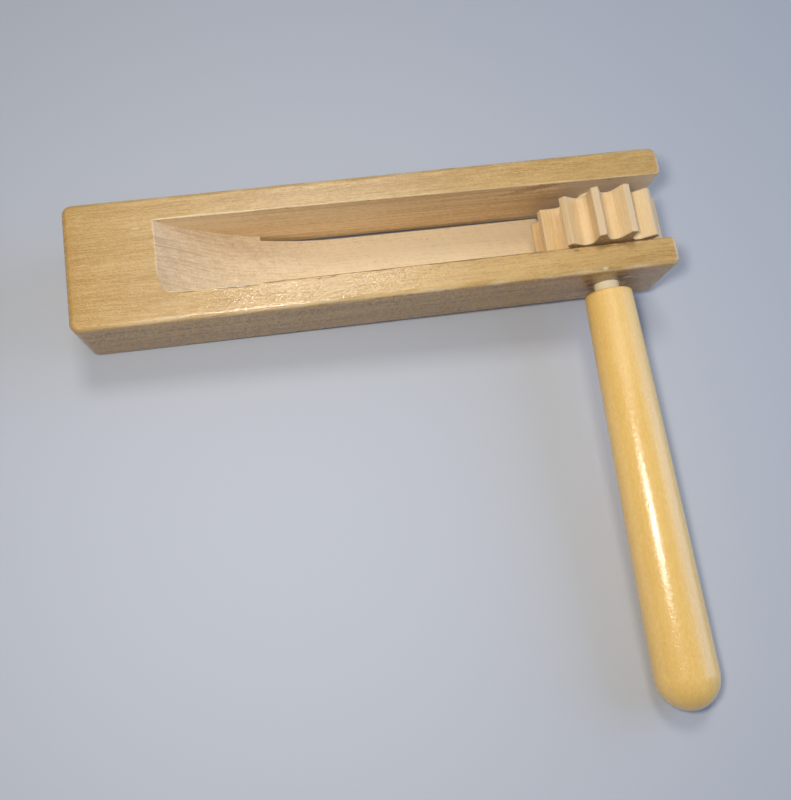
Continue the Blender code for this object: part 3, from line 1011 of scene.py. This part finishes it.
def resting_plane():
    """Normal and distance of the floor, which touches the block's corner, a tooth and the handle."""
    butt = Vector((AXLE_X, HANDLE_LOW.y + BUTT_REST, -BUTT_RADIUS))
    corner = Vector((BLOCK_LOW.x, BLOCK_LOW.y, BLOCK_LOW.z))
    tooth = Vector((AXLE_X, COG_LOW.y, COG_LOW.z))
    normal = (butt - corner).cross(tooth - corner).normalized()
    normal *= math.copysign(1, normal.z)
    return normal, min(normal.dot(vertex.co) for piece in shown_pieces() for vertex in piece.data.vertices)


def lamp(name, place, width, light, colour=(1, 1, 1)):
    """A square soft lamp, aimed at the object, that throws this light on a surface square to it there."""
    made = bpy.data.lights.new(name, "AREA")
    made.size = width
    made.color = colour
    aim = LIT_PLACE - place
    made.energy = light * math.pi * math.pi * aim.length_squared
    placed = bpy.data.objects.new(name, made)
    placed.location = place
    placed.rotation_mode = "QUATERNION"
    placed.rotation_quaternion = aim.to_track_quat("-Z", "Y")
    placed.visible_camera = False
    bpy.context.scene.collection.objects.link(placed)


def floor_paint(studio):
    """Pale matt paint, which fades into the backdrop far from the ratchet."""
    paint = new_material("floor_paint")
    tree = paint.node_tree
    shader = tree.nodes["Principled BSDF"]
    matt = {"Base Color": (*studio.floor, 1), "Roughness": 0.9, "Specular IOR Level": 0.1}
    for name, value in matt.items():
        shader.inputs[name].default_value = value
    lit = Shade(tree, shader.outputs["BSDF"])
    seen = lit.node("ShaderNodeLightPath", output="Is Camera Ray")
    away = lit.node("ShaderNodeTexCoord", output="Object").vector("LENGTH", (0, 0, 0), output=1)
    glow = lit.node("ShaderNodeEmission", None, {"Color": BACKDROP, "Strength": BACKDROP_LIGHT})
    fade = seen * away.step(FADE_START, FADE_END)
    faded = lit.node("ShaderNodeMixShader", None, {0: fade, 1: lit, 2: glow})
    tree.links.new(faded.socket, tree.nodes["Material Output"].inputs["Surface"])
    return paint


def lay_floor(studio):
    normal, level = resting_plane()
    work = bmesh.new()
    bmesh.ops.create_grid(work, x_segments=1, y_segments=1, size=FLOOR_SIZE / 2)
    mesh = bpy.data.meshes.new("floor")
    work.to_mesh(mesh)
    work.free()
    floor = show("floor", mesh)
    floor.rotation_mode = "QUATERNION"
    floor.rotation_quaternion = normal.to_track_quat("Z", "Y")
    floor.location = normal * level + (LIT_PLACE - normal * normal.dot(LIT_PLACE))
    coat(floor, floor_paint(studio))
    floor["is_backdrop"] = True


def fill_light(studio):
    """A world that lights the ratchet evenly, and that the camera sees as a pale backdrop."""
    world = bpy.data.worlds.new("studio_fill")
    world.use_nodes = True
    background = world.node_tree.nodes["Background"]
    seen = Shade(world.node_tree).node("ShaderNodeLightPath", output="Is Camera Ray")
    strength = studio.fill + (BACKDROP_LIGHT - studio.fill) * seen
    world.node_tree.links.new(strength.socket, background.inputs["Strength"])
    background.inputs["Color"].default_value = BACKDROP
    return world


def photo_camera():
    lens = bpy.data.cameras.new("photo_camera")
    lens.lens = CAMERA_LENS
    lens.clip_start = 10 * MM
    camera = bpy.data.objects.new("photo_camera", lens)
    turn = Matrix((CAMERA_RIGHT, CAMERA_UP, CAMERA_RIGHT.cross(CAMERA_UP))).transposed()
    camera.matrix_world = Matrix.Translation(CAMERA_PLACE) @ turn.to_4x4()
    bpy.context.scene.collection.objects.link(camera)
    return camera


class RATCHET_OT_studio(bpy.types.Operator):
    """Sets up the pale floor that the ratchet lies on, soft light and the camera"""

    bl_idname = "ratchet.studio"
    bl_label = "Studio"

    def execute(self, context):
        scene = context.scene
        studio = scene.ratchet_studio
        lay_floor(studio)
        lamp("key_lamp", KEY_PLACE, KEY_SIZE, studio.key)
        lamp("top_lamp", TOP_PLACE, TOP_SIZE, studio.top)
        lamp("side_lamp", SIDE_PLACE, SIDE_SIZE, studio.side, studio.cool)
        scene.world = fill_light(studio)
        scene.camera = photo_camera()
        scene.view_settings.view_transform = "Standard"
        return {"FINISHED"}


# Add-on

class RATCHET_PT_sidebar(bpy.types.Panel):
    """Lists the ratchet's pieces and their settings"""

    bl_label = "Wooden Ratchet"
    bl_space_type = "VIEW_3D"
    bl_region_type = "UI"
    bl_category = "Ratchet"

    def draw(self, context):
        for maker in MAKERS:
            self.layout.operator(maker.bl_idname)
        for name, group in SETTINGS.items():
            box = self.layout.box()
            box.label(text=group.__doc__)
            for setting in group.__annotations__:
                box.prop(getattr(context.scene, name), setting)


SETTINGS = {
    "ratchet_block": RatchetBlock,
    "ratchet_cog": RatchetCog,
    "ratchet_crank": RatchetCrank,
    "ratchet_studio": RatchetStudio,
}
MAKERS = (
    RATCHET_OT_slotted_block,
    RATCHET_OT_spring_tongue,
    RATCHET_OT_fluted_cog,
    RATCHET_OT_dowel_axle,
    RATCHET_OT_turned_handle,
    RATCHET_OT_studio,
)


def register():
    for kind in (*SETTINGS.values(), *MAKERS, RATCHET_PT_sidebar):
        bpy.utils.register_class(kind)
    for name, group in SETTINGS.items():
        setattr(bpy.types.Scene, name, bpy.props.PointerProperty(type=group))


def unregister():
    for name in SETTINGS:
        delattr(bpy.types.Scene, name)
    for kind in (RATCHET_PT_sidebar, *reversed(MAKERS), *reversed(SETTINGS.values())):
        bpy.utils.unregister_class(kind)


def main():
    register()
    for name in ("Cube", "Light", "Camera"):
        if name in bpy.data.objects:
            bpy.data.objects.remove(bpy.data.objects[name])
    bpy.ops.ratchet.slotted_block()
    bpy.ops.ratchet.spring_tongue()
    bpy.ops.ratchet.fluted_cog()
    bpy.ops.ratchet.dowel_axle()
    bpy.ops.ratchet.turned_handle()
    bpy.ops.ratchet.studio()


if __name__ == "__main__":
    main()
